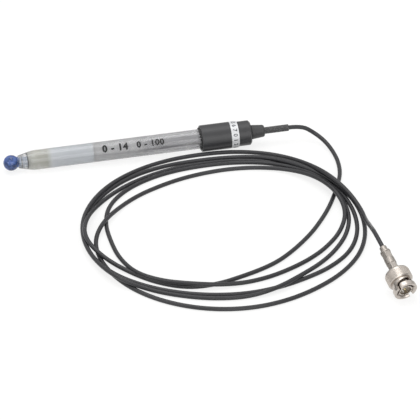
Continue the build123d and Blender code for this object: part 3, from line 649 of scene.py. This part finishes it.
def contact_push(line):
    """Push on each sample of the cable from the strands that it touches."""
    way = np.concatenate([[0], np.cumsum(np.linalg.norm(np.diff(line, axis=0), axis=1))])
    offset = line[:, None] - line[None]
    distance = np.linalg.norm(offset, axis=2)
    close = (distance < APART) & (np.abs(way[:, None] - way[None]) > SAME_STRAND)
    strength = np.where(close, (APART - distance) / np.maximum(distance, MM / 1000), 0)
    push = (strength[:, :, None] * offset).sum(1) / np.maximum(close.sum(1), 1)[:, None] / 2
    push[:, :2] *= SIDEWAYS_SHARE
    # A strand that lies over another one rises until it rests on it.
    flat = np.linalg.norm(offset[:, :, :2], axis=2)
    rise = np.sqrt(np.maximum(APART**2 - flat**2, 0)) - offset[:, :, 2]
    push[:, 2] = np.where(close & (offset[:, :, 2] > LYING_OVER), rise, 0).max(1) / 2
    return push


HEAD_START = -1 * MM
HEAD_END = 32 * MM
SHAFT_START = -112 * MM
HEAD_CLEAR = 9.55 * MM
SHAFT_CLEAR = 7.45 * MM


def electrode_push(line):
    """How far each sample of the cable has to go from the head or the shaft to clear it."""
    axis = np.array(ELECTRODE_PLACE.col[0].xyz)
    along = (line - np.array(HEAD_FRONT)) @ axis
    away = np.linalg.norm(line - np.array(HEAD_FRONT) - along[:, None] * axis, axis=1)
    room = np.where((along > HEAD_START) & (along < HEAD_END), HEAD_CLEAR, 0)
    room = np.where((along <= HEAD_START) & (along > SHAFT_START), SHAFT_CLEAR, room)
    return np.maximum(room - away, 0)


SINKING_STEPS = 120
RESTING_STEPS = 40
SINK = 0.02 * MM
HOLD_SHARE = 0.05
PUSH_GAIN = 1.5


def settle(points):
    """Let the strands sink onto the table and each other, each held near its place."""
    points = np.array(points)
    start = points.copy()
    weights = spline_weights(len(points))
    total = weights.sum(0)[:, None]
    fixed = np.zeros(len(points), bool)
    fixed[:2] = True
    fixed[-len(TAIL_POINTS):] = True
    sinking = ~fixed
    sinking[:len(LEAD_POINTS)] = False
    sight = -np.array(back)[:2] / back.z
    for step in range(SINKING_STEPS + RESTING_STEPS):
        line = weights @ points
        push = contact_push(line)
        push[:, 1] -= electrode_push(line)
        move = weights.T @ push / total * PUSH_GAIN
        move[fixed] = 0
        points += move
        if step < SINKING_STEPS:
            # A strand that sinks keeps to the line of sight on which the photograph shows it.
            sunk = (start - points)[:, 2:]
            points[sinking, :2] += HOLD_SHARE * (start[:, :2] + sunk * sight - points[:, :2])[sinking]
            points[sinking, 2] -= SINK
        points[:, 2] = np.maximum(points[:, 2], CABLE_HEIGHT)
    return points


route = settle(LEAD_POINTS + JOIN_POINTS + coil_points() + TAIL_POINTS)

cable_curve = bpy.data.curves.new("cable", "CURVE")
cable_curve.dimensions = "3D"
cable_curve.bevel_depth = CABLE_RADIUS
cable_curve.bevel_resolution = 4
spline = cable_curve.splines.new("NURBS")
spline.points.add(len(route) - 1)
for point, place in zip(spline.points, route):
    point.co = (*place, 1)
spline.order_u = 3
spline.use_endpoint_u = True
spline.resolution_u = 6
cable = bpy.data.objects.new("cable", cable_curve)
bpy.context.collection.objects.link(cable)

WEAR_PER_METRE = 45.0
GRAINS_PER_METRE = 2500.0
# Extruded PVC: satin black that has greyed a little, with faint dull patches from handling
pvc_jacket, tree = new_material("extruded PVC")
place = node(tree, "ShaderNodeTexCoord", {})
patches = node(tree, "ShaderNodeTexNoise", {
    "Vector": place.outputs["Object"], "Scale": WEAR_PER_METRE, "Detail": 3.0,
})
grain = node(tree, "ShaderNodeTexNoise", {
    "Vector": place.outputs["Object"], "Scale": GRAINS_PER_METRE, "Detail": 2.0,
})
tint = node(tree, "ShaderNodeMix", {
    "data_type": "RGBA", 0: patches.outputs["Fac"], 6: linear("#2a2a2c"), 7: linear("#38383b"),
})
dull = node(tree, "ShaderNodeMapRange", {"Value": patches.outputs["Fac"], "To Min": 0.28, "To Max": 0.42})
jacket = node(tree, "ShaderNodeBsdfPrincipled", {
    "Base Color": tint.outputs[2], "Roughness": dull.outputs[0], "IOR": 1.53, "Specular IOR Level": 0.35,
})
finish_material(tree, jacket, grain.outputs["Fac"], 0.02)
cable_curve.materials.append(pvc_jacket)

line = np.array([point.co[:3] for point in spline.points])
samples = spline_weights(len(line)) @ line
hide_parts("cable_lead", "cable_coil", "cable_tail")
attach(cable, "electrode")

# The stripped ends inside the head and inside the plug are the same cable.
dress(pvc_jacket, "cable_end", "plug_cable_end")

# Plug
# A bayonet coaxial plug of turned brass with a nickel plate: a body with a slotted contact barrel,
# a sprung coupling nut with two cam slots, and a long ferrule crimped over the cable's shield.

# In the plug's own place, X runs from the middle of its mouth back to the cable. The plug stands on its lip.
PLUG_MOUTH = Vector((115.2, -176.5, 6.43225)) * MM
PLUG_TURN = math.radians(101)
PLUG_DIP = math.radians(18)
PLUG_PLACE = (
    Matrix.Translation(PLUG_MOUTH) @ Matrix.Rotation(PLUG_TURN, 4, "Z") @ Matrix.Rotation(-PLUG_DIP, 4, "Y")
)
# Electroplated nickel: warm silver, satin from handling, with faint turning marks
nickel_plate = finish("nickel plate", ("#b9b1a9", "#c6bfb8"), 0.25, (0.24, 0.34), 0.004, Metallic=1.0)
dress(nickel_plate, "coupling_nut", "plug_body")
# Crimped nickel plate: duller, and pitted by the crimping die
crimped_plate = finish("crimped nickel plate", ("#8f8983", "#bdb6af"), 0.5, (0.3, 0.5), 0.08, Metallic=1.0)
dress(crimped_plate, "crimp_ferrule")
# Turned PTFE: soft waxy white
dress(finish("turned PTFE", ("#e8e8e4", "#f1f1ee"), 0.5, (0.4, 0.5), 0.003, IOR=1.35), "plug_insulator")
# Gold plate over nickel: pale yellow metal
dress(finish("gold plate", ("#cbb98c", "#d8c89e"), 0.3, (0.2, 0.3), 0.002, Metallic=1.0), "centre_pin")
# Red silicone: matte
dress(finish("red silicone", ("#7d2f22", "#8c3a2a"), 0.3, (0.5, 0.65), 0.005), "plug_gasket")
# Rolled spring steel: darker and bluer than the nickel
spring_steel = finish("rolled spring steel", ("#8e8f92", "#a0a1a4"), 0.2, (0.25, 0.4), 0.004, Metallic=1.0)
dress(spring_steel, "thrust_washer", "retaining_ring")

# Wave washer
# A thin ring of spring steel pressed into three waves. It lies between the body's flange and the
# thrust washer. It flattens while the nut is pulled, and is drawn here with its free waves.

FLANGE_REAR = 10.6 * MM
WASHER_SPACE = 0.7 * MM
WASHER_THICKNESS = 0.18 * MM
WASHER_INNER_RADIUS = 3.97 * MM
WASHER_WIDTH = 0.55 * MM
WASHER_CLEARANCE = 0.02 * MM
WASHER_WAVES = 3
WASHER_STEPS = 72

swing = (WASHER_SPACE - WASHER_THICKNESS) / 2 - WASHER_CLEARANCE
WASHER_OUTER_RADIUS = WASHER_INNER_RADIUS + WASHER_WIDTH
# The four corners of the strip, going round it
corners = [
    (-WASHER_THICKNESS / 2, WASHER_INNER_RADIUS), (-WASHER_THICKNESS / 2, WASHER_OUTER_RADIUS),
    (WASHER_THICKNESS / 2, WASHER_OUTER_RADIUS), (WASHER_THICKNESS / 2, WASHER_INNER_RADIUS),
]
washer = bmesh.new()
rings = []
for index in range(WASHER_STEPS):
    angle = 2 * math.pi * index / WASHER_STEPS
    middle = FLANGE_REAR + WASHER_SPACE / 2 + swing * math.cos(WASHER_WAVES * angle)
    places = [(middle + face, radius * math.cos(angle), radius * math.sin(angle)) for face, radius in corners]
    rings.append([washer.verts.new(place) for place in places])
for ring, following in zip(rings, rings[1:] + rings[:1]):
    for index in range(4):
        after = (index + 1) % 4
        washer.faces.new((ring[index], ring[after], following[after], following[index]))
bmesh.ops.recalc_face_normals(washer, faces=washer.faces)
washer_mesh = bpy.data.meshes.new("waved_washer")
washer.to_mesh(washer_mesh)
washer.free()
waved_washer = add_piece("waved_washer", washer_mesh, PLUG_PLACE, spring_steel, "electrode")
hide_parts("wave_washer")
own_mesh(waved_washer)

# Grip of the coupling nut
# A fine straight knurl, rolled into the widest part of the brass nut before it is plated. Each ridge is
# a thin rod, sunk by half into the nut.

GRIP_RIDGES = 96
RIDGE_SIDES = 6
GRIP_RADIUS = 7.25 * MM
GRIP_HEIGHT = 0.1 * MM
GRIP_FRONT = 7.6 * MM
GRIP_LENGTH = 4.9 * MM

GRIP_INPUTS = [
    ("Ridges", "NodeSocketInt", GRIP_RIDGES),
    ("Radius", "NodeSocketFloat", GRIP_RADIUS),
    ("Height", "NodeSocketFloat", GRIP_HEIGHT),
    ("Length", "NodeSocketFloat", GRIP_LENGTH),
    ("Finish", "NodeSocketMaterial", nickel_plate),
]

grip_tree = bpy.data.node_groups.new("rolled grip", "GeometryNodeTree")
for name, kind, value in GRIP_INPUTS:
    grip_tree.interface.new_socket(name, in_out="INPUT", socket_type=kind)
grip_tree.interface.new_socket("Geometry", in_out="OUTPUT", socket_type="NodeSocketGeometry")
given = grip_tree.nodes.new("NodeGroupInput")
circle = node(grip_tree, "GeometryNodeMeshCircle", {
    "Vertices": given.outputs["Ridges"], "Radius": given.outputs["Radius"],
})
ridge = node(grip_tree, "GeometryNodeMeshCylinder", {
    "Vertices": RIDGE_SIDES, "Radius": given.outputs["Height"], "Depth": given.outputs["Length"],
})
ridges = node(grip_tree, "GeometryNodeInstanceOnPoints", {
    "Points": circle.outputs[0], "Instance": ridge.outputs["Mesh"],
})
realised = node(grip_tree, "GeometryNodeRealizeInstances", {"Geometry": ridges.outputs[0]})
coated = node(grip_tree, "GeometryNodeSetMaterial", {
    "Geometry": realised.outputs[0], "Material": given.outputs["Finish"],
})
made = grip_tree.nodes.new("NodeGroupOutput")
grip_tree.links.new(coated.outputs[0], made.inputs[0])

base = bpy.data.objects.new("grip", bpy.data.meshes.new("grip"))
bpy.context.collection.objects.link(base)
modifier = base.modifiers.new("rolled grip", "NODES")
modifier.node_group = grip_tree
values = {name: value for name, kind, value in GRIP_INPUTS}
for item in grip_tree.interface.items_tree:
    if item.in_out == "INPUT":
        modifier[item.identifier] = values[item.name]
grip_mesh = bpy.data.meshes.new_from_object(base.evaluated_get(bpy.context.evaluated_depsgraph_get()))
bpy.data.objects.remove(base)
along_plug = Matrix.Translation((GRIP_FRONT + GRIP_LENGTH / 2, 0, 0)) @ Matrix.Rotation(math.pi / 2, 4, "Y")
add_piece("grip", grip_mesh, PLUG_PLACE @ along_plug, nickel_plate, "coupling_nut")
